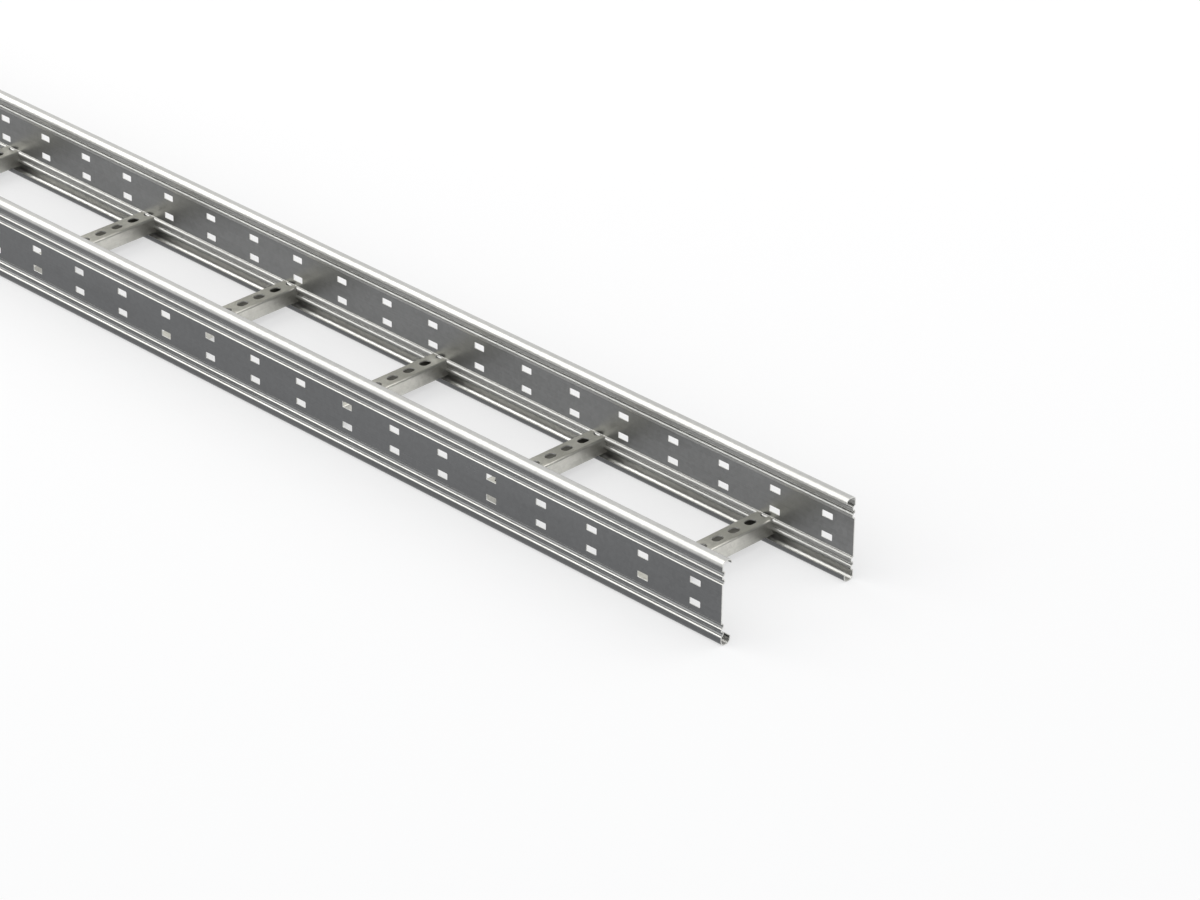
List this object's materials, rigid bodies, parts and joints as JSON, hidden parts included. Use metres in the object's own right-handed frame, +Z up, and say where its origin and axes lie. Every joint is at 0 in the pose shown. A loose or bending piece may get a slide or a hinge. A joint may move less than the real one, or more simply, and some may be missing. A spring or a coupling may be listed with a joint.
{
  "type": "cable ladder section",
  "caption": "Straight cable ladder section: ribbed C-shaped side rails with perforated webs, joined by slotted channel rungs that carry and tie down cables.",
  "frame": {"origin": "bottom centre of the bounding box, on the surface that the section rests on", "axes": "+X along the ladder, +Y across it towards the left rail, +Z up"},
  "size_m": [3, 0.2, 0.1],
  "materials": {
    "rail_zinc": "satin pregalvanised sheet, roll-formed",
    "rung_zinc": "satin galvanised channel"
  },
  "bodies": {
    "root": {"right_side_rail": "rail_zinc", "left_side_rail": "rail_zinc", "rung_01": "rung_zinc", "rung_02": "rung_zinc", "rung_03": "rung_zinc", "rung_04": "rung_zinc", "rung_05": "rung_zinc", "rung_06": "rung_zinc", "rung_07": "rung_zinc", "rung_08": "rung_zinc", "rung_09": "rung_zinc", "rung_10": "rung_zinc", "rung_11": "rung_zinc", "rung_12": "rung_zinc"}
  },
  "joints": []
}
